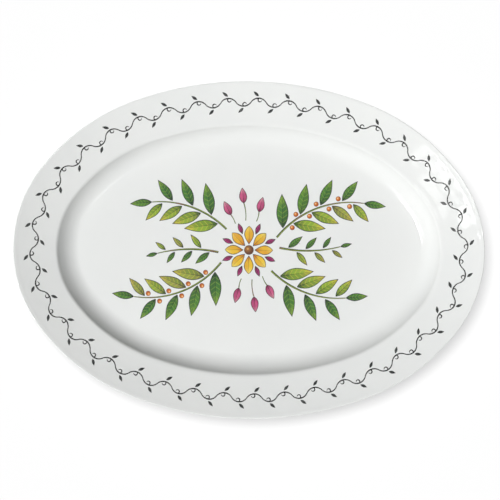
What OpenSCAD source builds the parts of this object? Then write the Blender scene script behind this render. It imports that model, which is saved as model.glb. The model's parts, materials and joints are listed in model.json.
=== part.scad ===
// Oval rimmed serving plate with a printed spray on the floor and a printed vine on the rim.
// Everything stands on z = 0, with the plate's centre on the Z axis and its length along X.

/* [Outline] */
// Overall length of the plate
plate_l = 390; // [360:1:420]
// Overall width of the plate
plate_w = 279; // [262:1:296]
// Fullness of the two ends, as a share of an ellipse's end radius
end_fullness_share = 1.077; // [1.04:0.001:1.11]

/* [Rim] */
// Width of the rim, from the outer edge to the verge
rim_w = 36; // [28:0.5:42]
// Rise of the rim, from the verge to the outer edge
rim_rise = 9; // [5:0.5:12]
// Radius of the rounded outer edge
edge_r = 2.4; // [1.8:0.1:3]
// Thickness of the rim beside the verge
rim_t = 5.4; // [5:0.1:6.5]
// Radius of the verge, where the rim turns down into the well
verge_r = 4; // [2:0.5:6]
// Radius of the hollow under the verge
under_r = 9; // [6:0.5:12]

/* [Well] */
// Depth of the well, from the verge to the floor
well_d = 12; // [9:0.5:15]
// Slope of the wall, in degrees from level
wall_slope = 62; // [50:1:66]
// Radius of the sweep from the wall to the floor
sweep_r = 19; // [12:0.5:21]
// Thickness of the floor
base_t = 5.5; // [4.5:0.25:7]

/* [Foot ring] */
// Height of the foot ring below the base
foot_h = 3; // [2.6:0.1:4.5]
// Width of the foot ring
foot_w = 6; // [5:0.5:9]
// Distance from the end of the sweep to the outside of the foot ring
foot_step = 1.6; // [1.2:0.2:4]
// Radius in the corners between the foot ring and the base
root_r = 1; // [0.6:0.1:1.2]
// Radius of the foot ring's two lower corners
tip_r = 0.9; // [0.5:0.1:1.2]
// Height of the bare clay left above the standing face
bare_h = 1.3; // [1.25:0.05:1.5]

/* [Glaze and prints] */
// Thickness of the glaze
glaze_t = 0.3; // [0.2:0.05:0.5]
// Thickness of the fired prints
print_t = 0.12; // [0.08:0.01:0.2]
// Number of bows in the rim's vine, an even count
vine_bows = 76; // [60:4:88]
// Distance from the outer edge to the middle of the vine
vine_inset = 17; // [15:0.5:19]
// Width of the vine's lines
vine_line = 0.9; // [0.6:0.1:1.2]
// Length of the vine's leaves
vine_leaf_l = 6; // [4:0.5:7]
// Width of the vine's leaves
vine_leaf_w = 2.4; // [1.6:0.2:2.8]

/* [Centre spray] */
// Length of the largest leaf of the spray
leaf_l = 30; // [24:1:33]
// Width of the largest leaf of the spray
leaf_w = 10.5; // [8:0.5:11.5]
// Width of the spray's stems
stem_w = 1.6; // [1:0.1:2.2]
// Radius of the long branches' bow
long_branch_r = 78; // [70:1:86]
// Radius of the middle branches' bow
middle_branch_r = 110; // [95:1:125]
// Radius of the short branches' bow
short_branch_r = 78; // [70:1:86]
// Distance from the plate's centre to the tips of the petals
petal_reach = 20; // [17:0.5:21]
// Radius of the blossom's eye
eye_r = 4; // [3:0.1:5]
// Radius of a berry
berry_r = 2.1; // [1.4:0.1:2.4]
// Length of a bud
bud_l = 13; // [10:0.5:14]

/* [Hidden] */
$fn = 96;

// The outline is an oval of eight arcs. Its arcs meet on the lines of two right triangles with
// whole-number sides, 3-4-5 and 44-117-125, and the steps between their radii are rounded to
// these shares of a millimetre, so that every centre falls on a round number.
end_joint_shares = [0.8, 0.6];
side_joint_shares = [0.352, 0.936];
end_step_share = 0.05;
side_step_share = 0.125;
half_l = plate_l / 2;
half_w = plate_w / 2;
end_guess = end_fullness_share * half_w * half_w / half_l;
end_drop_share = 1 - end_joint_shares[1];
side_drop_share = 1 - side_joint_shares[1];
spread_share = end_joint_shares[0] * side_drop_share - side_joint_shares[0] * end_drop_share;
long_need = half_l - end_guess;
wide_need = half_w - end_guess;
end_need = (long_need * side_drop_share - wide_need * side_joint_shares[0]) / spread_share;
side_need = (wide_need * end_joint_shares[0] - long_need * end_drop_share) / spread_share;
end_step = stepped(end_need, end_step_share);
side_step = stepped(side_need, side_step_share);
side_c = [0, -end_step * end_joint_shares[1] - side_step * side_joint_shares[1]];
shoulder_c = side_c + side_step * side_joint_shares;
end_c = [shoulder_c[0] + end_step * end_joint_shares[0], 0];
end_r = half_l - end_c[0];
shoulder_r = end_r + end_step;
side_r = shoulder_r + side_step;
end_turn = atan2(end_joint_shares[1], end_joint_shares[0]);
side_turn = atan2(side_joint_shares[1], side_joint_shares[0]);

// The section is drawn with its first value running inwards from the outer edge, and its
// second upwards from the standing face.
floor_z = foot_h + base_t;
verge_z = floor_z + well_d;
rim_slope = atan(rim_rise / rim_w);
under_slope = rim_slope + atan((rim_t - 2 * edge_r) / rim_w);
lip_c = [edge_r, verge_z + (rim_w - edge_r) * tan(rim_slope) - edge_r / cos(rim_slope)];
plate_h = lip_c[1] + edge_r;
verge_run = verge_r * tan((wall_slope - rim_slope) / 2);
verge_c = [rim_w, verge_z] + verge_run * [-cos(rim_slope), sin(rim_slope)] - verge_r * up_from(rim_slope);
sweep = min(sweep_r, (well_d / sin(wall_slope) - verge_run) / tan(wall_slope / 2));
floor_inset = rim_w + well_d / tan(wall_slope) + sweep * tan(wall_slope / 2);
sweep_c = [floor_inset, floor_z + sweep];

// The hollow under the verge touches the underside of the rim and the back of the sweep.
lip_back = lip_c - edge_r * up_from(under_slope);
hollow_reach = sweep + base_t + under_r;
hollow_from = lip_back - under_r * up_from(under_slope) - sweep_c;
hollow_along = hollow_from * down_from(under_slope);
hollow_across = hollow_from * up_from(under_slope);
hollow_run = -hollow_along - sqrt(hollow_reach * hollow_reach - hollow_across * hollow_across);
hollow_c = sweep_c + hollow_from + hollow_run * down_from(under_slope);
hollow_turn = atan2(sweep_c[1] - hollow_c[1], sweep_c[0] - hollow_c[0]);

foot_inset = floor_inset + foot_step + root_r;
foot_end = foot_inset + foot_w;
slab_lap = foot_w;
ring_end = foot_end + root_r + slab_lap;
arc_steps = 8;
small_arc_steps = 4;

// A wedge reaches past the rim from the centre of its arc, and a swept piece reaches past its wedge.
reach_step = 125;
reach_share = 1.1;
reach = reach_step * ceil(reach_share * side_r / reach_step);
overrun = 1;
overturn = 2;

// The vine on the rim
vine_lean = 56;
vine_leaf_splay = 42;
vine_reach = 7;
curl_r = 1.5;
curl_turn = 220;
curl_tilt = 50;

// The blossom, with its petals in front of its sepals, and the clear ring round it
petals = 8;
petal_w_share = 0.4;
sepal_share = 0.5;
leaf_gap = 0.6;
stroke_gap = 0.5;
blossom_r = petal_reach + eye_r + leaf_gap;

// The branches of one half of the spray, which are turned half round for the other. Each is one
// arc, bowed to its left (1) or its right (-1), that ends at shares of the flat floor's half length
// and half width. Its leaves stand at a pitch along it, so that the spray fills a larger floor too.
long_from = 25;
long_end_shares = [0.673, 0.468];
long_side = -1;
long_leaf_share = 1;
long_pitch_share = 0.84;
middle_from = 5;
middle_end_shares = [0.538, 0.045];
middle_side = 1;
middle_leaf_share = 0.54;
middle_pitch_share = 0.72;
short_from = -42;
short_end_shares = [0.574, -0.452];
short_side = 1;
short_leaf_share = 1;
short_pitch_share = 0.84;
leaf_splay = 47;
leaf_fall_share = 0.38;
berry_back_share = 0.32;
first_berry = 1;

// The buds, each on its own stalk
buds = 3;
bud_from = 76;
bud_fan = 42;
bud_stalk = 8;
bud_bend = 24;

function stepped(v, step_share) = round(v / step_share) * step_share;
function up_from(slope) = [sin(slope), cos(slope)];
function down_from(slope) = [cos(slope), -sin(slope)];
function polar(r, turn) = r * [cos(turn), sin(turn)];
function arc(c, r, from, to, steps) = [for (i = [0:steps]) c + polar(r, from + (to - from) * i / steps)];

// Where the outline's normal has a given turn, between 0 and 90 degrees
function centre_at(turn) = turn < end_turn ? end_c : turn < side_turn ? shoulder_c : side_c;
function radius_at(turn) = turn < end_turn ? end_r : turn < side_turn ? shoulder_r : side_r;
function oval_point(turn, inset) = centre_at(turn) + polar(radius_at(turn) - inset, turn);

// Lengths of the three arcs of a quarter of the oval at an inset, and the turn at a length along it
function run_of(r, turned, inset) = (r - inset) * turned * PI / 180;
function end_run(inset) = run_of(end_r, end_turn, inset);
function shoulder_run(inset) = run_of(shoulder_r, side_turn - end_turn, inset);
function side_run(inset) = run_of(side_r, 90 - side_turn, inset);
function quarter_run(inset) = end_run(inset) + shoulder_run(inset) + side_run(inset);
function turn_for(run, r, inset) = run / (r - inset) * 180 / PI;
function turn_at(run, inset) =
    let (past_end = run - end_run(inset), to_come = quarter_run(inset) - run)
    past_end < 0 ? turn_for(run, end_r, inset)
    : past_end < shoulder_run(inset) ? end_turn + turn_for(past_end, shoulder_r, inset)
    : 90 - turn_for(to_come, side_r, inset);

// Place and normal at a share of the way round the oval, from its right end and anticlockwise
function quarter_share(round_share) = 4 * round_share - floor(4 * round_share);
function turn_round(round_share, inset) =
    let (
        quarter = floor(4 * round_share),
        share = quarter % 2 == 0 ? quarter_share(round_share) : 1 - quarter_share(round_share),
        turn = turn_at(share * quarter_run(inset), inset)
    )
    quarter % 2 == 0 ? 90 * quarter + turn : 90 * (quarter + 1) - turn;
function place_round(round_share, inset) =
    let (
        quarter = floor(4 * round_share),
        share = quarter % 2 == 0 ? quarter_share(round_share) : 1 - quarter_share(round_share),
        p = oval_point(turn_at(share * quarter_run(inset), inset), inset)
    )
    [quarter == 1 || quarter == 2 ? -p[0] : p[0], quarter >= 2 ? -p[1] : p[1]];

// The glazed outside from the foot ring round the edge to the floor, s inside the glaze's surface
function face_line(s) = concat(
    [[foot_inset + s, bare_h]],
    arc([foot_inset - root_r, foot_h - root_r], root_r + s, 0, 90, small_arc_steps),
    arc(sweep_c, sweep + base_t - s, 270, hollow_turn + 180, arc_steps),
    arc(hollow_c, under_r + s, hollow_turn, 90 - under_slope, small_arc_steps),
    arc(lip_c, edge_r - s, 270 - under_slope, 90 - rim_slope, arc_steps),
    arc(verge_c, verge_r - s, 90 - rim_slope, 90 - wall_slope, small_arc_steps),
    arc(sweep_c, sweep + s, 270 - wall_slope, 270, arc_steps),
    [[ring_end, floor_z - s]]
);
// The glazed base inside the foot ring
function recess_line(s) = concat(
    [[ring_end, foot_h + s]],
    arc([foot_end + root_r, foot_h - root_r], root_r + s, 90, 180, small_arc_steps),
    [[foot_end - s, bare_h]]
);
// The bare standing face between the two
function standing_line(s) = concat(
    arc([foot_end - s - tip_r, tip_r], tip_r, 0, -90, small_arc_steps),
    arc([foot_inset + s + tip_r, tip_r], tip_r, 270, 180, small_arc_steps)
);
function reversed(line) = [for (i = [len(line) - 1:-1:0]) line[i]];

module arc_piece(centre, radius, from_shares, to_shares) {
    from = atan2(from_shares[1], from_shares[0]);
    to = atan2(to_shares[1], to_shares[0]);
    intersection() {
        translate(centre)
            rotate_extrude(angle = to - from + 2 * overturn, start = from - overturn)
                translate([radius, 0])
                    mirror([1, 0])
                        children();
        translate([0, 0, -overrun])
            linear_extrude(plate_h + 2 * overrun)
                polygon([centre, centre + reach * from_shares, centre + reach * to_shares]);
    }
}

// Sweeps a drawn section round the whole oval
module swept_round() {
    for (left = [0, 1]) mirror([left, 0, 0]) {
        arc_piece(end_c, end_r, [end_joint_shares[0], -end_joint_shares[1]], end_joint_shares) children();
        for (back = [0, 1]) mirror([0, back, 0])
            arc_piece(shoulder_c, shoulder_r, end_joint_shares, side_joint_shares) children();
    }
    for (back = [0, 1]) mirror([0, back, 0])
        arc_piece(side_c, side_r, side_joint_shares, [-side_joint_shares[0], side_joint_shares[1]])
            children();
}

// Fills the middle of the plate, lapping into the swept ring
module slab(low, high) {
    quarter = [for (i = [0:arc_steps]) oval_point(90 * i / arc_steps, ring_end - slab_lap / 2)];
    back_quarter = [for (p = reversed(quarter)) [-p[0], p[1]]];
    half = concat(quarter, back_quarter);
    front = [for (p = reversed(half)) [p[0], -p[1]]];
    translate([0, 0, low])
        linear_extrude(high - low)
            polygon(concat(half, front));
}

module ceramic_body() color("seashell") {
    swept_round() polygon(concat(face_line(glaze_t), recess_line(glaze_t), standing_line(glaze_t)));
    slab(foot_h + glaze_t, floor_z - glaze_t);
}

module face_glaze() color("white") {
    swept_round() polygon(concat(face_line(0), reversed(face_line(glaze_t))));
    slab(floor_z - glaze_t, floor_z);
}

module recess_glaze() color("whitesmoke") {
    swept_round() polygon(concat(recess_line(0), reversed(recess_line(glaze_t))));
    slab(foot_h, foot_h + glaze_t);
}

// A skin on the rim's upper face, between two insets
module rim_skin(from_inset, to_inset) {
    near = [from_inset, verge_z + (rim_w - from_inset) * tan(rim_slope)];
    far = [to_inset, verge_z + (rim_w - to_inset) * tan(rim_slope)];
    lift = print_t * up_from(rim_slope);
    swept_round() polygon([near, far, far + lift, near + lift]);
}

// A curved stroke between two places, bowed by the turn that it makes, with its ends drawn in
module stroke(from, to, turned, width, height) {
    chord = to - from;
    radius = norm(chord) / 2 / abs(sin(turned / 2));
    centre = (from + to) / 2 + [-chord[1], chord[0]] / 2 / tan(turned / 2);
    first = (turned > 0 ? from : to) - centre;
    trim = stroke_gap / 2 / radius * 180 / PI;
    translate(centre)
        rotate_extrude(angle = abs(turned) - 2 * trim, start = atan2(first[1], first[0]) + trim)
            translate([radius - width / 2, 0])
                square([width, height]);
}

// A leaf between two arcs, from the origin along X
module leaf(length, width, height) {
    bow_r = (length * length / width + width) / 4;
    linear_extrude(height)
        intersection() {
            translate([length / 2, bow_r - width / 2]) circle(bow_r);
            translate([length / 2, width / 2 - bow_r]) circle(bow_r);
        }
}

// The vine's bows swing out and in by turns round the middle of the rim
function vine_place(k) = place_round((k % vine_bows) / vine_bows, vine_inset);
function vine_turn(k) = turn_round((k % vine_bows) / vine_bows, vine_inset) + (k < vine_bows ? 0 : 360);
function vine_side(k) = k % 2 == 0 ? 1 : -1;
function bow_turn(k) = vine_turn(k + 1) - vine_turn(k) + 2 * vine_side(k) * vine_lean;
function bow_rise(k) = norm(vine_place(k + 1) - vine_place(k)) / 2 * tan(bow_turn(k) / 4);
function bow_out(k) = (vine_turn(k) + vine_turn(k + 1)) / 2;
function bow_middle(k) = (vine_place(k) + vine_place(k + 1)) / 2;

// A tendril leaves each bow inside its crown and curls round
function bow_crown(k) = bow_middle(k) + polar(bow_rise(k), bow_out(k));
function bow_inwards(k) = bow_out(k) + (vine_side(k) > 0 ? 180 : 0);
function curl_way(k) = bow_inwards(k) + vine_side(k) * (curl_turn / 2 - curl_tilt);
function curl_start(k) = bow_crown(k) + polar((vine_line + stroke_gap) / 2, bow_inwards(k));
function curl_end(k) = curl_start(k) + polar(2 * curl_r * sin(curl_turn / 2), curl_way(k));

module rim_vine_print() color("dimgray")
    intersection() {
        rim_skin(vine_inset - vine_reach, vine_inset + vine_reach);
        translate([0, 0, verge_z]) for (k = [0:vine_bows - 1]) {
            stroke(vine_place(k), vine_place(k + 1), bow_turn(k), vine_line, plate_h - verge_z);
            stroke(curl_start(k), curl_end(k), vine_side(k) * curl_turn, vine_line, plate_h - verge_z);
        }
    }

module rim_leaf_print() color("gray")
    intersection() {
        rim_skin(edge_r, rim_w - verge_run);
        translate([0, 0, verge_z]) for (k = [0:vine_bows - 1])
            translate(bow_middle(k) + polar(bow_rise(k) + vine_side(k) * (vine_line + leaf_gap), bow_out(k)))
                rotate(bow_out(k) + vine_side(k) * (90 - vine_leaf_splay) + (k % 2 == 0 ? 0 : 180))
                    leaf(vine_leaf_l, vine_leaf_w, plate_h - verge_z);
    }

// A branch's row of values, and what follows from it: its ends, its turn and its leaves
function branch_row(from, end_shares, side, r, size_share, pitch_share) =
    [from, end_shares, side, r, size_share, pitch_share];
function long_branch() = branch_row(long_from, long_end_shares, long_side, long_branch_r,
    long_leaf_share, long_pitch_share);
function middle_branch() = branch_row(middle_from, middle_end_shares, middle_side, middle_branch_r,
    middle_leaf_share, middle_pitch_share);
function short_branch() = branch_row(short_from, short_end_shares, short_side, short_branch_r,
    short_leaf_share, short_pitch_share);
function branch_side(b) = b[2];
function branch_r(b) = b[3];
function branch_start(b) = polar(blossom_r + stem_w / 2, b[0]);
function branch_end(b) = [b[1][0] * (half_l - floor_inset), b[1][1] * (half_w - floor_inset)];
function branch_chord(b) = branch_end(b) - branch_start(b);
function branch_turned(b) = 2 * branch_side(b) * asin(norm(branch_chord(b)) / 2 / branch_r(b));
function branch_heading(b) = atan2(branch_chord(b)[1], branch_chord(b)[0]) - branch_turned(b) / 2;
function branch_centre(b) = branch_start(b) + branch_side(b) * polar(branch_r(b), branch_heading(b) + 90);
function branch_way(b, share) = branch_heading(b) + branch_turned(b) * share;
function branch_at(b, share) =
    branch_centre(b) + polar(branch_r(b), branch_way(b, share) - branch_side(b) * 90);
function branch_leaves(b) = round(branch_r(b) * abs(branch_turned(b)) * PI / 180 / (b[5] * leaf_w)) - 1;
function leaf_share(b, i) = (i + 1) / (branch_leaves(b) + 1);
function leaf_size(b, share) = b[4] * (1 - leaf_fall_share * share);

module sized_leaf(size_share) leaf(size_share * leaf_l, size_share * leaf_w, print_t);

// Every second leaf of a branch, and the leaf at its end where that has the same colour
module leaf_row(b, first) {
    for (i = [first:2:branch_leaves(b) - 1]) {
        side = i % 2 == 0 ? 1 : -1;
        share = leaf_share(b, i);
        aside = polar(side * (stem_w / 2 + leaf_gap), branch_way(b, share) + 90);
        translate(branch_at(b, share) + aside)
            rotate(branch_way(b, share) + side * leaf_splay)
                sized_leaf(leaf_size(b, share));
    }
    if (branch_leaves(b) % 2 == first % 2)
        translate(branch_at(b, 1))
            rotate(branch_way(b, 1))
                sized_leaf(leaf_size(b, 1));
}

module on_floor() {
    translate([0, 0, floor_z])
        for (half = [0, 180]) rotate(half) children();
}

module branch_stem(b) stroke(branch_start(b), branch_end(b), branch_turned(b), stem_w, print_t);

module stem_print() color("olivedrab")
    on_floor() {
        branch_stem(long_branch());
        branch_stem(middle_branch());
        branch_stem(short_branch());
        for (k = [0:buds - 1])
            stroke(bud_root(k), bud_base(k), bud_bend, stem_w / 2, print_t);
    }

module green_leaf_print() color("forestgreen")
    on_floor() {
        leaf_row(long_branch(), 0);
        leaf_row(middle_branch(), 0);
        leaf_row(short_branch(), 1);
    }

module lime_leaf_print() color("yellowgreen")
    on_floor() {
        leaf_row(long_branch(), 1);
        leaf_row(middle_branch(), 1);
        leaf_row(short_branch(), 0);
    }

module petal_print() color("gold")
    translate([0, 0, floor_z]) {
        cylinder(h = print_t, r = eye_r);
        for (k = [0:petals - 1])
            rotate(360 * k / petals)
                translate([eye_r + leaf_gap, 0])
                    leaf(petal_reach - eye_r - leaf_gap, petal_w_share * petal_reach, print_t);
    }

module sepal_print() color("mediumvioletred")
    translate([0, 0, floor_z])
        for (k = [0:petals - 1])
            rotate(360 * (k + 1 / 2) / petals)
                translate([petal_reach + eye_r - sepal_share * petal_reach, 0])
                    leaf(sepal_share * petal_reach, sepal_share * petal_w_share * petal_reach, print_t);

// The buds stand in a fan beside the blossom
function bud_way(k) = bud_from + bud_fan * k / (buds - 1);
function bud_root(k) = polar(blossom_r, bud_way(k));
function bud_base(k) = polar(blossom_r + bud_stalk + (k % 2 == 0 ? 0 : bud_l / 2), bud_way(k));

module bud_print() color("palevioletred")
    on_floor()
        for (k = [0:buds - 1])
            translate(bud_base(k)) rotate(bud_way(k)) leaf(bud_l, bud_l / 2, print_t);

module berry_print() color("darkorange")
    on_floor()
        for (i = [first_berry:branch_leaves(long_branch()) - 1]) {
            side = i % 2 == 0 ? 1 : -1;
            share = leaf_share(long_branch(), i - berry_back_share);
            aside = side * (stem_w / 2 + leaf_gap + berry_r);
            translate(branch_at(long_branch(), share) + polar(aside, branch_way(long_branch(), share) + 90))
                cylinder(h = print_t, r = berry_r);
        }

ceramic_body();
face_glaze();
recess_glaze();
rim_vine_print();
rim_leaf_print();
stem_print();
green_leaf_print();
lime_leaf_print();
petal_print();
sepal_print();
bud_print();
berry_print();
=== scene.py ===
"""Dresses an oval serving plate: white glaze, a bare foot, a pen vine on the rim and a painted spray.

Lengths are in metres and turns in degrees. The plate stands on z = 0, with its length along X.
"""
from __future__ import annotations

import json
import logging
import math
from dataclasses import dataclass, replace
from enum import Enum
from functools import cached_property

import bmesh
import bpy
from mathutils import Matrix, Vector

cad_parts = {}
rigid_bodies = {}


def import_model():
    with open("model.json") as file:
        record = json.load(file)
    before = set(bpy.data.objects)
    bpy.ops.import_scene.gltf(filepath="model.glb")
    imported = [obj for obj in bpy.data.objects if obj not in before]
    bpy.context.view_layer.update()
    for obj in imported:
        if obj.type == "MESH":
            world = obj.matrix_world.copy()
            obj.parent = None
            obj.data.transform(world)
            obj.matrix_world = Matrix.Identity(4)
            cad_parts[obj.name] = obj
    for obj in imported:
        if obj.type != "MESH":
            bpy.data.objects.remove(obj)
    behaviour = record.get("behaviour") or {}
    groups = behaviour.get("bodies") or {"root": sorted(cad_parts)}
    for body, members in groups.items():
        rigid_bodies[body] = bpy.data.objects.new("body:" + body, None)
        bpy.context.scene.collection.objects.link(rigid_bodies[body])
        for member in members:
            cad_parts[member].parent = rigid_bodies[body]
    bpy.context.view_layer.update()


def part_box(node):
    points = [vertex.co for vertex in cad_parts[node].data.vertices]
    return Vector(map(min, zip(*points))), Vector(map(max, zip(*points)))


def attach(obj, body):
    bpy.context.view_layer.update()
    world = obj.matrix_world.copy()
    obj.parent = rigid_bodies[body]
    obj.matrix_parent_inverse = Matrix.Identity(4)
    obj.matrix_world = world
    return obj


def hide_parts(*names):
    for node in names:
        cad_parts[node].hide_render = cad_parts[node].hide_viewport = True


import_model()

MM = 0.001
LOG = logging.getLogger("plate")
SHAPE_MAP = "shape"

Point = tuple[float, float]
Colour = tuple[float, float, float]
ORIGIN: Point = (0.0, 0.0)


def polar(radius: float, turn: float) -> Point:
    """The point at a radius and a turn from the origin."""
    return radius * math.cos(math.radians(turn)), radius * math.sin(math.radians(turn))


def add(a: Point, b: Point) -> Point:
    """The sum of two points."""
    return a[0] + b[0], a[1] + b[1]


def scaled(a: Point, share: float) -> Point:
    """A point, scaled from the origin."""
    return a[0] * share, a[1] * share


def spun(a: Point, by: float) -> Point:
    """A point, turned about the origin."""
    x, y = polar(1, by)
    return a[0] * x - a[1] * y, a[0] * y + a[1] * x


def midway(a: Point, b: Point) -> Point:
    """The middle of two points."""
    return scaled(add(a, b), 0.5)


def heading(start: Point, end: Point) -> float:
    """The turn of the way from one point to another."""
    return math.degrees(math.atan2(end[1] - start[1], end[0] - start[0]))


def arc(centre: Point, radius: float, start: float, end: float, step: float) -> list[Point]:
    """The points of an arc from one turn to another, at most a step apart."""
    count = max(2, math.ceil(abs(end - start) / step))
    return [add(centre, polar(radius, start + (end - start) * i / count)) for i in range(count + 1)]


def squared(centre: Point, outwards: float, upwards: float, lean: float, power: float,
            count: int) -> list[Point]:
    """The points of a quarter rounding with a squarer shoulder than an arc, from outwards to upwards.

    Args:
        centre: The rounding's centre.
        outwards: Its reach outwards.
        upwards: Its reach upwards.
        lean: The rise of its upper side for each unit outwards.
        power: 2 for an arc, and more for a squarer shoulder.
        count: The number of its stretches.

    Returns:
        The points in order.
    """
    points = []
    for i in range(count + 1):
        x, y = polar(1, 90 * i / count)
        reach = (abs(x) ** power + abs(y) ** power) ** (1 / power)
        out = outwards * x / reach
        points.append(add(centre, (-out, lean * out + upwards * y / reach)))
    return points


@dataclass(frozen=True)
class Oval:
    """The plate's outline: eight arcs that meet on the lines of two whole-number triangles."""

    half_l: float
    half_w: float
    fullness: float = 1.077
    end_joint: Point = (0.8, 0.6)
    side_joint: Point = (0.352, 0.936)
    end_grain: float = 0.05 * MM
    side_grain: float = 0.125 * MM

    @cached_property
    def arcs(self) -> list[tuple[Point, float, float]]:
        """Centre, radius and last turn of the end's, the shoulder's and the side's arc.

        Returns:
            One row for each of the three arcs of a quarter.
        """
        end_drop = 1 - self.end_joint[1]
        side_drop = 1 - self.side_joint[1]
        spread = self.end_joint[0] * side_drop - self.side_joint[0] * end_drop
        guess = self.fullness * self.half_w**2 / self.half_l
        long_need = self.half_l - guess
        wide_need = self.half_w - guess
        end_step = (long_need * side_drop - wide_need * self.side_joint[0]) / spread
        side_step = (wide_need * self.end_joint[0] - long_need * end_drop) / spread
        end_step = round(end_step / self.end_grain) * self.end_grain
        side_step = round(side_step / self.side_grain) * self.side_grain
        side = (0.0, -end_step * self.end_joint[1] - side_step * self.side_joint[1])
        shoulder = add(side, scaled(self.side_joint, side_step))
        end = (shoulder[0] + end_step * self.end_joint[0], 0.0)
        radius = self.half_l - end[0]
        return [
            (end, radius, heading(ORIGIN, self.end_joint)),
            (shoulder, radius + end_step, heading(ORIGIN, self.side_joint)),
            (side, radius + end_step + side_step, 90.0),
        ]

    def quarter(self, inset: float) -> float:
        """The length of a quarter of the outline.

        Args:
            inset: The distance inside the outline.

        Returns:
            The length.
        """
        turns = [0.0] + [last for _, _, last in self.arcs]
        return sum((radius - inset) * math.radians(last - first)
                   for (_, radius, last), first in zip(self.arcs, turns))

    def place(self, share: float, inset: float) -> tuple[Point, float]:
        """A place at a share of the way round, from the right end and anticlockwise.

        Args:
            share: The share of the whole way round, of 0 or more.
            inset: The distance inside the outline.

        Returns:
            The point and the turn of the outline's outward normal there.
        """
        laps = math.floor(share)
        quarter = int(4 * (share - laps))
        part = 4 * (share - laps) - quarter
        run = (part if quarter % 2 == 0 else 1 - part) * self.quarter(inset)
        first = 0.0
        for centre, radius, last in self.arcs:
            span = (radius - inset) * math.radians(last - first)
            if run <= span or last == 90.0:
                turn = first + math.degrees(run / (radius - inset))
                point = add(centre, polar(radius - inset, turn))
                break
            run -= span
            first = last
        x = -point[0] if quarter in (1, 2) else point[0]
        y = -point[1] if quarter >= 2 else point[1]
        turn = 90 * quarter + turn if quarter % 2 == 0 else 90 * (quarter + 1) - turn
        return (x, y), turn + 360 * laps


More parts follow.
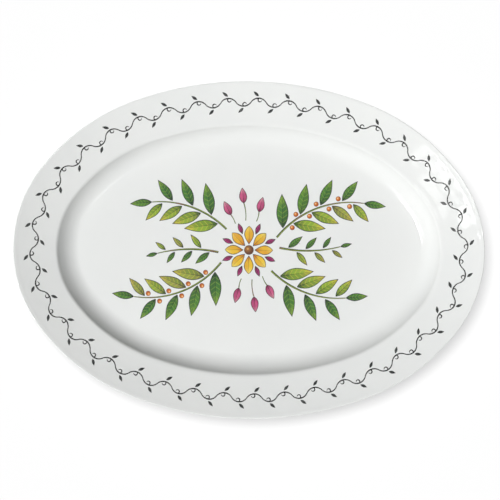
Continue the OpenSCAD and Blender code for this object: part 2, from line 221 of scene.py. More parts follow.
@dataclass(frozen=True)
class Section:
    """The plate's section: first value inwards from the outer edge, second upwards.

    Its lines lie at a depth inside the glaze: at 0 they are the glaze's outer side, and at glaze_t the
    clay's, which the glaze hides.
    """

    rim_w: float = 36 * MM
    rim_rise: float = 9 * MM
    edge_r: float = 2.4 * MM
    rim_t: float = 5.4 * MM
    verge_r: float = 4 * MM
    under_r: float = 9 * MM
    well_d: float = 12 * MM
    wall_slope: float = 62.0
    sweep_r: float = 19 * MM
    base_t: float = 5.5 * MM
    foot_h: float = 3 * MM
    foot_w: float = 6 * MM
    foot_step: float = 1.6 * MM
    root_r: float = 1 * MM
    tip_r: float = 0.9 * MM
    bare_h: float = 1.3 * MM
    glaze_t: float = 0.3 * MM
    rim_sag: float = 0.45 * MM
    lip_power: float = 10.0
    lip_lean: float = 0.24
    lip_steps: int = 24
    rim_shares: tuple[float, ...] = (0.1, 0.14, 0.2, 0.3, 0.4, 0.5, 0.6, 0.7, 0.8, 0.87)
    depth: float = 0.0

    @property
    def rise(self) -> float:
        """The rim's rise for each unit of its width."""
        return self.rim_rise / self.rim_w

    @property
    def rim_slope(self) -> float:
        """The rim's slope."""
        return math.degrees(math.atan(self.rise))

    @property
    def under_slope(self) -> float:
        """The slope of the rim's underside."""
        return self.rim_slope + math.degrees(math.atan((self.rim_t - 2 * self.edge_r) / self.rim_w))

    @property
    def floor_z(self) -> float:
        """The height of the floor."""
        return self.foot_h + self.base_t

    @property
    def verge_z(self) -> float:
        """The height at which the rim meets the wall."""
        return self.floor_z + self.well_d

    @property
    def lip_top(self) -> float:
        """The height of the rim's line over the centre of the outer edge."""
        return self.verge_z + (self.rim_w - self.edge_r) * self.rise

    @property
    def lip(self) -> Point:
        """The centre of the rounded outer edge."""
        return self.edge_r, self.lip_top - self.edge_r / math.cos(math.radians(self.rim_slope))

    @property
    def verge(self) -> Point:
        """The centre of the verge's rounding.

        Returns:
            The point, on the clay's side of the rim's line.
        """
        run = self.verge_r * math.tan(math.radians((self.wall_slope - self.rim_slope) / 2))
        along = polar(run, 180 - self.rim_slope)
        return add(add((self.rim_w, self.verge_z), along), polar(-self.verge_r, 90 - self.rim_slope))

    @property
    def floor_inset(self) -> float:
        """Where the sweep meets the floor."""
        wall = math.radians(self.wall_slope)
        return self.rim_w + self.well_d / math.tan(wall) + self.sweep_r * math.tan(wall / 2)

    @property
    def sweep(self) -> Point:
        """The centre of the sweep from the wall to the floor."""
        return self.floor_inset, self.floor_z + self.sweep_r

    @property
    def hollow(self) -> Point:
        """The centre of the hollow under the verge, which touches the rim's underside and the wall.

        Returns:
            The point, outside the clay.
        """
        normal = polar(1, 90 - self.under_slope)
        down = polar(1, -self.under_slope)
        near = add(self.lip, scaled(normal, -self.edge_r - self.under_r))
        way = add(near, scaled(self.sweep, -1))
        along = way[0] * down[0] + way[1] * down[1]
        across = way[0] * normal[0] + way[1] * normal[1]
        reach = self.sweep_r + self.base_t + self.under_r
        run = -along - math.sqrt(reach * reach - across * across)
        return add(near, scaled(down, run))

    @property
    def foot_inset(self) -> float:
        """Where the foot ring's outer side stands."""
        return self.floor_inset + self.foot_step + self.root_r

    @property
    def foot_end(self) -> float:
        """Where the foot ring's inner side stands."""
        return self.foot_inset + self.foot_w

    @property
    def ring_end(self) -> float:
        """Where the swept ring ends and the flat middle begins."""
        return self.foot_end + self.root_r + self.foot_w

    @property
    def clay(self) -> Section:
        """The same section at the clay's surface."""
        return replace(self, depth=self.glaze_t)

    def face(self) -> list[Point]:
        """The line from the foot round the edge to the floor.

        Returns:
            Its points, from the bare face to the flat middle.
        """
        depth = self.depth
        hollow_turn = heading(self.hollow, self.sweep)
        root = (self.foot_inset - self.root_r, self.foot_h - self.root_r)
        shoulder_h = self.lip_top - depth - self.lip[1]
        return [
            (self.foot_inset + depth, self.bare_h),
            *arc(root, self.root_r + depth, 0, 90, 15),
            *arc(self.sweep, self.sweep_r + self.base_t - depth, 270, hollow_turn + 180, 3),
            *arc(self.hollow, self.under_r + depth, hollow_turn, 90 - self.under_slope, 5),
            *arc(self.lip, self.edge_r - depth, 270 - self.under_slope, 180, 9),
            *squared(self.lip, self.edge_r - depth, shoulder_h, self.lip_lean, self.lip_power,
                     self.lip_steps),
            *self.rim(),
            *arc(self.verge, self.verge_r - depth, 90 - self.rim_slope, 90 - self.wall_slope, 4),
            *arc(self.sweep, self.sweep_r + depth, 270 - self.wall_slope, 270, 2.5),
            (self.foot_end, self.floor_z - depth),
            (self.ring_end, self.floor_z - depth),
        ]

    def rim(self) -> list[Point]:
        """The rim's face between its lip and its verge, which is a little hollow.

        Returns:
            Its points, inwards.
        """
        points = []
        for share in self.rim_shares:
            height = self.verge_z + (1 - share) * (self.rim_rise - 4 * self.rim_sag * share)
            points.append((share * self.rim_w, height - self.depth / math.cos(math.radians(self.rim_slope))))
        return points

    def recess(self) -> list[Point]:
        """The line of the base inside the foot ring.

        Returns:
            Its points, from the flat middle to the bare face.
        """
        root = (self.foot_end + self.root_r, self.foot_h - self.root_r)
        return [
            (self.ring_end, self.foot_h + self.depth),
            *arc(root, self.root_r + self.depth, 90, 180, 15),
            (self.foot_end - self.depth, self.bare_h),
        ]

    def standing(self) -> list[Point]:
        """The line of the bare standing face between the two.

        Returns:
            Its points, outwards.
        """
        inner = (self.foot_end - self.depth - self.tip_r, self.tip_r)
        outer = (self.foot_inset + self.depth + self.tip_r, self.tip_r)
        return [*arc(inner, self.tip_r, 0, -90, 10), *arc(outer, self.tip_r, 270, 180, 10)]

    def bead(self, inset: float) -> list[Point]:
        """The rounded end of a glaze whose middle is at an inset, above the bare face."""
        return arc((inset, self.bare_h), self.glaze_t / 2, 360, 180, 30)[1:-1]

    def body_line(self) -> list[Point]:
        """The clay's whole section, from the top of the flat middle to its bottom."""
        clay = self.clay
        return [*clay.recess(), *clay.standing(), *clay.face()][::-1]

    def face_glaze_line(self) -> list[Point]:
        """The face glaze's section, from under the flat middle round its bead to the top."""
        return [*self.clay.face()[::-1], *self.bead(self.foot_inset + self.glaze_t / 2), *self.face()]

    def recess_glaze_line(self) -> list[Point]:
        """The recess glaze's section, from over the flat middle round its bead to the bottom."""
        bead = self.bead(self.foot_end - self.glaze_t / 2)
        return [*self.clay.recess(), *bead[::-1], *self.recess()[::-1]]


class Channel(Enum):
    """A mix node's kind of value, its sockets for the share and the two values, and its output."""

    NUMBER = ("FLOAT", 0, 2, 3, 0)
    COLOUR = ("RGBA", 0, 6, 7, 2)


class Sock:
    """A node's output that takes part in Python sums."""

    def __init__(self, graph: Graph, socket: bpy.types.NodeSocket) -> None:
        """Wraps one output socket of a graph."""
        self.graph = graph
        self.socket = socket

    def __add__(self, other: Value) -> Sock:
        """The sum."""
        return self.graph.math("ADD", self, other)

    def __sub__(self, other: Value) -> Sock:
        """The difference."""
        return self.graph.math("SUBTRACT", self, other)

    def __rsub__(self, other: Value) -> Sock:
        """The difference from another value."""
        return self.graph.math("SUBTRACT", other, self)

    def __mul__(self, other: Value) -> Sock:
        """The product."""
        return self.graph.math("MULTIPLY", self, other)

    def __truediv__(self, other: Value) -> Sock:
        """The quotient."""
        return self.graph.math("DIVIDE", self, other)

    __radd__ = __add__
    __rmul__ = __mul__


Value = Sock | float | int | tuple


class Graph:
    """Adds nodes to one node tree, of a material, of the world or of a geometry modifier."""

    def __init__(self, tree: bpy.types.NodeTree) -> None:
        """Works on one tree."""
        self.tree = tree

    def node(self, kind: str, settings: dict | None = None, inputs: dict | None = None) -> bpy.types.Node:
        """Adds a node.

        Args:
            kind: The node's type.
            settings: Its settings, which are set first.
            inputs: Values or links of its sockets, by name or by number.

        Returns:
            The node.
        """
        node = self.tree.nodes.new(kind)
        for name, value in (settings or {}).items():
            setattr(node, name, value)
        for key, value in (inputs or {}).items():
            if isinstance(value, Sock):
                self.tree.links.new(value.socket, node.inputs[key])
            else:
                node.inputs[key].default_value = value
        return node

    def out(self, node: bpy.types.Node, key: str | int = 0) -> Sock:
        """One output of a node."""
        return Sock(self, node.outputs[key])

    def made(self, kind: str, settings: dict | None = None, inputs: dict | None = None,
             key: str | int = 0) -> Sock:
        """Adds a node as node() does, and gives one of its outputs."""
        return self.out(self.node(kind, settings, inputs), key)

    def math(self, operation: str, *values: Value) -> Sock:
        """A number from a Math node."""
        return self.made("ShaderNodeMath", {"operation": operation}, dict(enumerate(values)))

    def join(self, x: Value = 0.0, y: Value = 0.0, z: Value = 0.0) -> Sock:
        """A vector from three numbers."""
        return self.made("ShaderNodeCombineXYZ", None, {0: x, 1: y, 2: z})

    def parts(self, vector: Sock) -> list[Sock]:
        """The three numbers of a vector."""
        node = self.node("ShaderNodeSeparateXYZ", None, {0: vector})
        return [self.out(node, i) for i in range(3)]

    def mix(self, channel: Channel, share: Value, first: Value, second: Value) -> Sock:
        """A mix of two values.

        Args:
            channel: The kind of the values.
            share: The second value's share.
            first: The first value.
            second: The second value.

        Returns:
            The mixed value.
        """
        kind, share_at, first_at, second_at, out_at = channel.value
        values = {share_at: share, first_at: first, second_at: second}
        return self.made("ShaderNodeMix", {"data_type": kind}, values, out_at)

    def ease(self, value: Value, low: float, high: float) -> Sock:
        """A smooth step from 0 at a low value to 1 at a high one."""
        settings = {"interpolation_type": "SMOOTHSTEP"}
        return self.made("ShaderNodeMapRange", settings, {0: value, 1: low, 2: high})

    def noise(self, place: Sock, scale: float, detail: float, rough: float = 0.5) -> Sock:
        """Noise around a half, at a number of lumps to the unit."""
        values = {"Vector": place, "Scale": scale, "Detail": detail, "Roughness": rough}
        return self.made("ShaderNodeTexNoise", None, values)

    def seen(self) -> Sock:
        """1 on the rays by which the camera sees, directly, mirrored or through glass, and else 0.

        Returns:
            That number.
        """
        path = self.node("ShaderNodeLightPath")
        straight, mirrored, through = (
            self.out(path, f"Is {kind} Ray") for kind in ("Camera", "Glossy", "Transmission"))
        return self.math("MAXIMUM", self.math("MAXIMUM", straight, mirrored), through)


class ShaderGraph(Graph):
    """Adds nodes to a new material."""

    def __init__(self, name: str) -> None:
        """Starts a material with nothing in its tree.

        Args:
            name: The material's name.
        """
        self.material = bpy.data.materials.new(name)
        self.material.use_nodes = True
        self.material.node_tree.nodes.clear()
        super().__init__(self.material.node_tree)

    def place(self) -> Sock:
        """The place on the object, in metres."""
        return self.made("ShaderNodeTexCoord", key="Object")

    def attribute(self, name: str) -> Sock:
        """A number that the mesh carries."""
        return self.made("ShaderNodeAttribute", {"attribute_name": name}, key="Fac")

    def shape_map(self) -> tuple[Sock, Sock]:
        """The place along and across a motif, both from 0 to 1."""
        along, across, _ = self.parts(self.made("ShaderNodeUVMap", {"uv_map": SHAPE_MAP}))
        return along, across

    def tinted(self, base: Sock | Colour, share: Value, over: Colour) -> Sock:
        """A base colour with a share of another one laid over it."""
        under = base if isinstance(base, Sock) else rgba(base)
        return self.mix(Channel.COLOUR, share, under, rgba(over))

    def relief(self, height: Sock) -> Sock:
        """The normal of a surface that stands out by a height in metres."""
        return self.made("ShaderNodeBump", None, {"Strength": 1.0, "Distance": 1.0, "Height": height})

    def finish(self, base: Sock, rough: Sock, normal: Sock | None = None) -> bpy.types.Material:
        """Ends the tree in a Principled surface.

        Args:
            base: Its colour.
            rough: Its roughness.
            normal: Its normal, where it has a relief.

        Returns:
            The material.
        """
        surface = {"Base Color": base, "Roughness": rough}
        if normal:
            surface["Normal"] = normal
        self.close(self.made("ShaderNodeBsdfPrincipled", None, surface))
        return self.material

    def close(self, shader: Sock) -> None:
        """Ends the tree in a shader."""
        self.node("ShaderNodeOutputMaterial", None, {"Surface": shader})


class GeometryGraph(Graph):
    """Adds nodes to a new geometry tree with named inputs."""

    def __init__(self, name: str, inputs: dict[str, str]) -> None:
        """Starts a tree.

        Args:
            name: The tree's name.
            inputs: The kind of each named input.
        """
        super().__init__(bpy.data.node_groups.new(name, "GeometryNodeTree"))
        face = self.tree.interface
        for label, kind in {"Geometry": "Geometry", **inputs}.items():
            face.new_socket(name=label, in_out="INPUT", socket_type="NodeSocket" + kind)
        face.new_socket(name="Geometry", in_out="OUTPUT", socket_type="NodeSocketGeometry")
        self.given = self.tree.nodes.new("NodeGroupInput")

    def input(self, name: str) -> Sock:
        """A named input of the tree."""
        return self.out(self.given, name)

    def shape_of(self, name: str) -> Sock:
        """The geometry of the object that a named input holds."""
        return self.made("GeometryNodeObjectInfo", None, {"Object": self.input(name)}, "Geometry")

    def stored(self, name: str) -> Sock:
        """A number that the points carry."""
        return self.made("GeometryNodeInputNamedAttribute", {"data_type": "FLOAT"}, {"Name": name})

    def store(self, shape: Sock, name: str, value: Value) -> Sock:
        """The shape with a number stored on its points."""
        values = {"Geometry": shape, "Name": name, "Value": value}
        return self.made("GeometryNodeStoreNamedAttribute", {"data_type": "FLOAT", "domain": "POINT"}, values)

    def level(self, curve: Sock) -> Sock:
        """A curve whose sections stand upright."""
        return self.made("GeometryNodeSetCurveNormal", {"mode": "Z_UP"}, {"Curve": curve})

    def real(self, shape: Sock) -> Sock:
        """A shape with its instances made real."""
        return self.made("GeometryNodeRealizeInstances", None, {"Geometry": shape})

    def draped(self, shape: Sock) -> Sock:
        """Lifts a flat shape to the face that it lies on, by its distance from the outline.

        Args:
            shape: The shape.

        Returns:
            The lifted shape.
        """
        spot = self.made("GeometryNodeInputPosition")
        flat = self.made("ShaderNodeVectorMath", {"operation": "MULTIPLY"}, {0: spot, 1: (1.0, 1.0, 0.0)})
        edges = self.made("GeometryNodeCurveToMesh", None, {"Curve": self.shape_of("Outline")})
        away = self.made("GeometryNodeProximity", {"target_element": "EDGES"},
                         {"Geometry": edges, "Sample Position": flat}, "Distance")
        share = away / self.input("Rim Width")
        lift = self.input("Height") + (1 - share) * (self.input("Rise") - share * self.input("Sag") * 4)
        return self.made("GeometryNodeSetPosition", None, {"Geometry": shape, "Offset": self.join(z=lift)})

    def end(self, shape: Sock) -> bpy.types.NodeTree:
        """Ends the tree in real, smooth geometry with its finish set.

        Args:
            shape: The shape that the tree has made.

        Returns:
            The tree.
        """
        smooth = self.made("GeometryNodeSetShadeSmooth", None, {"Geometry": self.real(shape)})
        dressed = self.made("GeometryNodeSetMaterial", None,
                            {"Geometry": smooth, "Material": self.input("Finish")})
        self.node("NodeGroupOutput", None, {0: dressed})
        return self.tree


LYING = {"Outline": "Object", "Height": "Float", "Rim Width": "Float", "Rise": "Float", "Sag": "Float",
         "Finish": "Material"}


def sweep_tree() -> bpy.types.NodeTree:
    """The tree that sweeps a section round the outline.

    Returns:
        The tree.
    """
    graph = GeometryGraph("section_sweep", {"Outline": "Object", "Section": "Object", "Finish": "Material"})
    path = graph.level(graph.shape_of("Outline"))
    section = graph.shape_of("Section")
    return graph.end(graph.made("GeometryNodeCurveToMesh", None, {"Curve": path, "Profile Curve": section}))


def stroke_tree() -> bpy.types.NodeTree:
    """The tree that draws a nib's section along paths and lays them on a face.

    Returns:
        The tree.
    """
    graph = GeometryGraph("pen_stroke", {"Paths": "Object", "Nib": "Object", **LYING})
    along = graph.made("GeometryNodeSplineParameter", key="Factor")
    path = graph.level(graph.store(graph.shape_of("Paths"), "along", along))
    side, _, _ = graph.parts(graph.made("GeometryNodeInputPosition"))
    nib = graph.store(graph.shape_of("Nib"), "across", side)
    line = graph.made("GeometryNodeCurveToMesh", None, {
        "Curve": path, "Profile Curve": nib, "Scale": graph.made("GeometryNodeInputRadius"),
        "Fill Caps": True})
    return graph.end(graph.draped(line))


def strew_tree() -> bpy.types.NodeTree:
    """The tree that lays a motif on points, turned and scaled by what they carry.

    Returns:
        The tree.
    """
    graph = GeometryGraph("strewn_motif", {"Motif": "Object", "Seed": "Int", **LYING})
    seed_at, number_at = 8, 1
    chance = graph.made("FunctionNodeRandomValue", {"data_type": "FLOAT"},
                        {seed_at: graph.input("Seed")}, number_at)
    points = graph.store(graph.input("Geometry"), "tint", chance)
    turn = graph.made("FunctionNodeEulerToRotation", None, {0: graph.join(z=graph.stored("turn"))})
    size = graph.join(graph.stored("long"), graph.stored("wide"), 1.0)
    laid = graph.made("GeometryNodeInstanceOnPoints", None, {
        "Points": points, "Instance": graph.shape_of("Motif"), "Rotation": turn, "Scale": size})
    return graph.end(graph.draped(graph.real(laid)))


def new_object(name: str, data: bpy.types.ID) -> bpy.types.Object:
    """Puts an object in the scene, at the origin.

    Args:
        name: Its name.
        data: Its mesh, curve, camera or light.

    Returns:
        The object.
    """
    made = bpy.data.objects.new(name, data)
    bpy.context.scene.collection.objects.link(made)
    return made


def curve_object(name: str, lines: list[list[Point]], closed: bool,
                 radii: list[list[float]] | None = None) -> bpy.types.Object:
    """Makes an object of flat, straight-jointed curves.

    Args:
        name: Its name.
        lines: The points of each curve.
        closed: True if the curves close on themselves.
        radii: The radius at each point, if it matters.

    Returns:
        The object.
    """
    data = bpy.data.curves.new(name, "CURVE")
    data.dimensions = "3D"
    for at, line in enumerate(lines):
        spline = data.splines.new("POLY")
        spline.points.add(len(line) - 1)
        spline.use_cyclic_u = closed
        for spot, point in enumerate(line):
            spline.points[spot].co = (*point, 0.0, 1.0)
            spline.points[spot].radius = radii[at][spot] if radii else 1.0
    return new_object(name, data)


def grown(piece: bpy.types.Object, tree: bpy.types.NodeTree, values: dict[str, object]) -> bpy.types.Object:
    """Runs a geometry tree on an object and keeps the result as its plain mesh.

    Args:
        piece: The object that carries the tree's own input.
        tree: The geometry tree.
        values: The tree's inputs by name.

    Returns:
        The same object, with the result in its mesh and no modifier.
    """
    modifier = piece.modifiers.new("growth", "NODES")
    modifier.node_group = tree
    for item in tree.interface.items_tree:
        if item.in_out == "INPUT" and item.name in values:
            modifier[item.identifier] = values[item.name]
    graph = bpy.context.evaluated_depsgraph_get()
    graph.update()
    mesh = bpy.data.meshes.new_from_object(piece.evaluated_get(graph), depsgraph=graph)
    piece.modifiers.remove(modifier)
    old = piece.data
    piece.data = mesh
    bpy.data.meshes.remove(old)
    mesh.name = piece.name
    return piece


def discard(*helpers: bpy.types.Object) -> None:
    """Takes helper objects out of the scene."""
    for helper in helpers:
        bpy.data.objects.remove(helper)


@dataclass(frozen=True)
class Spot:
    """Where one motif lies, which way it points and how large it is."""

    place: Point
    turn: float
    long: float
    wide: float

    def turned(self, by: float) -> Spot:
        """The same spot, carried round the plate's centre."""
        return Spot(spun(self.place, by), self.turn + by, self.long, self.wide)


def spots_object(name: str, spots: list[Spot]) -> bpy.types.Object:
    """Makes an object of loose points that carry their spots' turns and sizes.

    Args:
        name: Its name.
        spots: The spots.

    Returns:
        The object.
    """
    mesh = bpy.data.meshes.new(name)
    mesh.from_pydata([(*spot.place, 0.0) for spot in spots], [], [])
    columns = {
        "turn": [math.radians(spot.turn) for spot in spots],
        "long": [spot.long for spot in spots],
        "wide": [spot.wide for spot in spots],
    }
    for label, numbers in columns.items():
        mesh.attributes.new(label, "FLOAT", "POINT").data.foreach_set("value", numbers)
    return new_object(name, mesh)


class Shell:
    """A closed mesh in the making, whose vertices carry a place on the shape map and a half width."""

    def __init__(self) -> None:
        """Starts without vertices."""
        self.mesh = bmesh.new()
        self.map = self.mesh.loops.layers.uv.new(SHAPE_MAP)
        self.reach = self.mesh.verts.layers.float.new("reach")
        self.places: dict[bmesh.types.BMVert, Point] = {}

    def spot(self, at: tuple[float, float, float], place: Point, reach: float) -> bmesh.types.BMVert:
        """Adds a vertex.

        Args:
            at: Where it lies.
            place: Its place on the shape map.
            reach: The motif's half width there.

        Returns:
            The vertex.
        """
        vertex = self.mesh.verts.new(at)
        vertex[self.reach] = reach
        self.places[vertex] = place
        return vertex

    def strip(self, near: list, far: list) -> None:
        """Joins two rows of vertices by faces.

        Args:
            near: The first row.
            far: The second row; either may be a single vertex.
        """
        for j in range(max(len(near), len(far)) - 1):
            corners = ((near, j), (far, j), (far, j + 1), (near, j + 1))
            ring = [row[min(k, len(row) - 1)] for row, k in corners]
            self.mesh.faces.new(list(dict.fromkeys(ring)))

    def finish(self, name: str) -> bpy.types.Object:
        """Turns the faces outwards and writes the shape map.

        Args:
            name: The object's name.

        Returns:
            The object.
        """
        bmesh.ops.recalc_face_normals(self.mesh, faces=self.mesh.faces)
        for face in self.mesh.faces:
            for loop in face.loops:
                loop[self.map].uv = self.places[loop.vert]
        data = bpy.data.meshes.new(name)
        self.mesh.to_mesh(data)
        self.mesh.free()
        return new_object(name, data)


@dataclass(frozen=True)
class LeafMotif:
    """A domed leaf of unit length and width that points along X from the origin."""

    height: float = 0.07 * MM
    sink: float = 0.02 * MM
    dome_power: int = 6
    widest: float = 0.5
    keen: float = 1.0
    rows: int = 28
    columns: int = 10

    def half_width(self, along: float) -> float:
        """Half the leaf's width at a share of its length."""
        lean = math.log(0.5) / math.log(self.widest)
        return 0.5 * math.sin(math.pi * along**lean) ** self.keen

    def make(self, name: str) -> bpy.types.Object:
        """Builds the leaf as a closed mesh.

        Args:
            name: The object's name.

        Returns:
            The object.
        """
        shell = Shell()
        sides = [math.sin(math.pi / 2 * (2 * j / self.columns - 1)) for j in range(self.columns + 1)]
        upper, lower = [], []
        for i in range(self.rows + 1):
            along = 0.5 - 0.5 * math.cos(math.pi * i / self.rows)
            inner = 0 < i < self.rows
            half = self.half_width(along) if inner else 0.0
            dome = [(s, self.height * (1 - s**self.dome_power)) for s in sides] if inner else [(0.0, 0.0)]
            ends = [(s, -self.sink) for s in ((-1.0, 1.0) if inner else (0.0,))]
            for rows, line in ((upper, dome), (lower, ends)):
                rows.append([shell.spot((along, half * s, z), (along, (s + 1) / 2), half) for s, z in line])
        for rows in (upper, lower):
            for near, far in zip(rows, rows[1:]):
                shell.strip(near, far)
        for edge in (0, -1):
            shell.strip([row[edge] for row in upper], [row[edge] for row in lower])
        return shell.finish(name)


@dataclass(frozen=True)
class DropMotif:
    """A domed round drop of unit width at the origin."""

    height: float = 0.09 * MM
    sink: float = 0.02 * MM
    dome_power: int = 4
    rings: int = 6
    sides: int = 28

    def make(self, name: str) -> bpy.types.Object:
        """Builds the drop as a closed mesh.

        Args:
            name: The object's name.

        Returns:
            The object.
        """
        shell = Shell()
        shares = [math.sin(math.pi / 2 * ring / self.rings) for ring in range(self.rings + 1)]
        levels = [(share, self.height * (1 - share**self.dome_power)) for share in shares]
        loops = []
        for share, top in [*levels, (1.0, -self.sink)]:
            turns = [360 * side / self.sides for side in range(self.sides if share > 0 else 1)]
            spots = [polar(0.5 * share, turn) for turn in turns]
            loops.append([shell.spot((x, y, top), (0.5 + x, 0.5 + y), 0.5) for x, y in spots])
        for near, far in zip(loops, loops[1:]):
            shell.strip(near + near[:1], far + far[:1])
        shell.mesh.faces.new(loops[-1])
        return shell.finish(name)


def rgba(colour: Colour) -> tuple[float, float, float, float]:
    """A colour with full opacity."""
    return (*colour, 1.0)


@dataclass(frozen=True)
class GlazeFinish:
    """Glossy white glaze: faint clouds, a few specks, soft waves and fine orange peel."""

    name: str
    colour: Colour = (0.80, 0.812, 0.798)
    cloud: Colour = (0.772, 0.788, 0.778)
    speck: Colour = (0.30, 0.26, 0.21)
    roughness: float = 0.05
    wave: float = 0.05 * MM
    rim_wave: float = 0.30 * MM
    rim_from: float = 21 * MM
    rim_full: float = 25 * MM
    peel: float = 0.0010 * MM
    speck_share: float = 0.035
    cloud_scale: float = 18
    speck_scale: float = 95
    wave_scale: float = 70
    gloss_scale: float = 240
    peel_scale: float = 620

    def material(self) -> bpy.types.Material:
        """Builds the glaze's material.

        Returns:
            The material.
        """
        graph = ShaderGraph(self.name)
        place = graph.place()
        clouds = graph.ease(graph.noise(place, self.cloud_scale, 3), 0.35, 0.7)
        base = graph.tinted(self.colour, clouds * 0.6, self.cloud)
        cells = graph.node("ShaderNodeTexVoronoi", None, {"Vector": place, "Scale": self.speck_scale})
        pick, _, _ = graph.parts(graph.out(cells, "Color"))
        chosen = graph.math("LESS_THAN", pick, self.speck_share)
        dot = 1 - graph.ease(graph.out(cells, "Distance"), 0.018, 0.045)
        base = graph.tinted(base, chosen * dot * 0.75, self.speck)
        _, _, height = graph.parts(place)
        on_rim = graph.ease(height, self.rim_from, self.rim_full)
        waves = (graph.noise(place, self.wave_scale, 1) - 0.5) * (on_rim * self.rim_wave + self.wave)
        peel = (graph.noise(place, self.peel_scale, 2) - 0.5) * self.peel
        rough = graph.noise(place, self.gloss_scale, 3) * 0.03 + (self.roughness - 0.015)
        return graph.finish(base, rough, graph.relief(waves + peel))


@dataclass(frozen=True)
class ClayFinish:
    """Bare fired clay: matt, warm and finely grained, a little worn where it stands."""

    name: str
    colour: Colour = (0.74, 0.69, 0.60)
    stain: Colour = (0.52, 0.45, 0.36)
    grain: float = 0.02 * MM
    wear_scale: float = 40
    blotch_scale: float = 55
    grit_scale: float = 1500

    def material(self) -> bpy.types.Material:
        """Builds the clay's material.

        Returns:
            The material.
        """
        graph = ShaderGraph(self.name)
        place = graph.place()
        blotch = graph.ease(graph.noise(place, self.blotch_scale, 4), 0.42, 0.75)
        base = graph.tinted(self.colour, blotch * 0.55, self.stain)
        grit = graph.noise(place, self.grit_scale, 3, 0.7)
        base = graph.tinted(base, graph.ease(grit, 0.56, 0.74) * 0.4, self.stain)
        rough = 0.94 - graph.noise(place, self.wear_scale, 2) * 0.16
        return graph.finish(base, rough, graph.relief(grit * self.grain))


@dataclass(frozen=True)
class PenFinish:
    """Fired charcoal line: dense ink that thins where the pen ran dry."""

    name: str
    ink: Colour = (0.012, 0.013, 0.012)
    thin: Colour = (0.08, 0.084, 0.08)
    roughness: float = 0.12
    dry_scale: float = 160
    fibre_scale: float = 1400

    def material(self) -> bpy.types.Material:
        """Builds the ink's material.

        Returns:
            The material.
        """
        graph = ShaderGraph(self.name)
        place = graph.place()
        dry = graph.ease(graph.noise(place, self.dry_scale, 3), 0.5, 0.78)
        fibre = graph.noise(place, self.fibre_scale, 2, 0.6)
        base = graph.tinted(self.ink, dry * (0.25 + fibre * 0.5), self.thin)
        return graph.finish(base, fibre * 0.06 + self.roughness)


@dataclass(frozen=True)
class PaintFinish:
    """Hand-laid enamel on a leaf, petal or bud, with veins and an ink outline."""

    name: str
    root: Colour
    body: Colour
    tip: Colour
    blush: Colour
    ink: Colour = (0.008, 0.009, 0.008)
    outline: float = 0.75 * MM
    rib: float = 0.45 * MM
    vein_count: float = 7.0
    vein_share: float = 0.5
    shade_share: float = 0.35
    blush_share: float = 0.6
    roughness: float = 0.11
    wash_scale: float = 210
    ragged_scale: float = 700

    def material(self) -> bpy.types.Material:
        """Builds the enamel's material from the motif's shape map.

        Returns:
            The material.
        """
        graph = ShaderGraph(self.name)
        place = graph.place()
        along, across = graph.shape_map()
        side = graph.math("ABSOLUTE", across * 2 - 1)
        half = graph.attribute("reach") * graph.attribute("wide")
        tint = graph.attribute("tint")
        wash = graph.noise(place, self.wash_scale, 4, 0.6)
        streak_at = graph.join(along * 1.6 + tint * 9, across * 11, tint * 17)
        streak = graph.noise(streak_at, 3.0, 3, 0.6)
        base = graph.tinted(self.root, graph.ease(along + (wash - 0.5) * 0.5, 0.02, 0.42), self.body)
        base = graph.tinted(base, graph.ease(along + (streak - 0.5) * 0.5, 0.55, 1.0), self.tip)
        blush = graph.ease(streak + tint * 0.22, 0.56, 0.80)
        base = graph.tinted(base, blush * self.blush_share, self.blush)
        shade = 1 - graph.ease(across, 0.40, 0.54)
        base = graph.tinted(base, shade * self.shade_share, self.root)
        vein_at = graph.math("FRACT", along * self.vein_count - side * 0.9 + 0.5)
        vein = 1 - graph.ease(graph.math("ABSOLUTE", vein_at - 0.5), 0.04, 0.13)
        vein = vein * graph.ease(along, 0.05, 0.2) * (1 - graph.ease(side, 0.6, 0.95))
        base = graph.tinted(base, vein * self.vein_share, self.tip)
        rib = 1 - graph.ease(side * half / ((1.15 - along) * self.rib), 0.35, 0.8)
        base = graph.tinted(base, rib * 0.85, self.ink)
        ragged = (graph.noise(place, self.ragged_scale, 2) - 0.5) * 0.9 + 1
        line = 1 - graph.ease((1 - side) * half / (ragged * self.outline), 0.62, 1.0)
        base = graph.tinted(base, line * 0.93, self.ink)
        return graph.finish(base, wash * 0.06 + self.roughness)


@dataclass(frozen=True)
class DropFinish:
    """Enamel on a berry or on the blossom's eye: lit to one side, dark round the edge."""

    name: str
    light: Colour
    body: Colour
    dark: Colour
    ink: Colour = (0.03, 0.018, 0.012)
    outline: float = 0.32 * MM
    roughness: float = 0.1
    wash_scale: float = 500
    middle: Point = (0.5, 0.5)
    lit_spot: Point = (0.38, 0.62)

    def material(self) -> bpy.types.Material:
        """Builds the enamel's material from the motif's shape map.

        Returns:
            The material.
        """
        graph = ShaderGraph(self.name)
        lit = self.away(graph, self.lit_spot)
        base = graph.tinted(self.body, graph.ease(lit, 0.1, 0.5), self.dark)
        base = graph.tinted(base, 1 - graph.ease(lit, 0.05, 0.16), self.light)
        edge = (0.5 - self.away(graph, self.middle)) * graph.attribute("wide")
        line = 1 - graph.ease(edge / self.outline, 0.6, 1.1)
        base = graph.tinted(base, line * 0.9, self.ink)
        wash = graph.noise(graph.place(), self.wash_scale, 2)
        return graph.finish(base, wash * 0.06 + self.roughness)

    @staticmethod
    def away(graph: ShaderGraph, spot: Point) -> Sock:
        """The distance from a spot on the shape map.

        Args:
            graph: The material's graph.
            spot: The spot.

        Returns:
            The distance.
        """
        x, y = graph.shape_map()
        way = graph.join(x - spot[0], y - spot[1])
        return graph.made("ShaderNodeVectorMath", {"operation": "LENGTH"}, {0: way}, "Value")


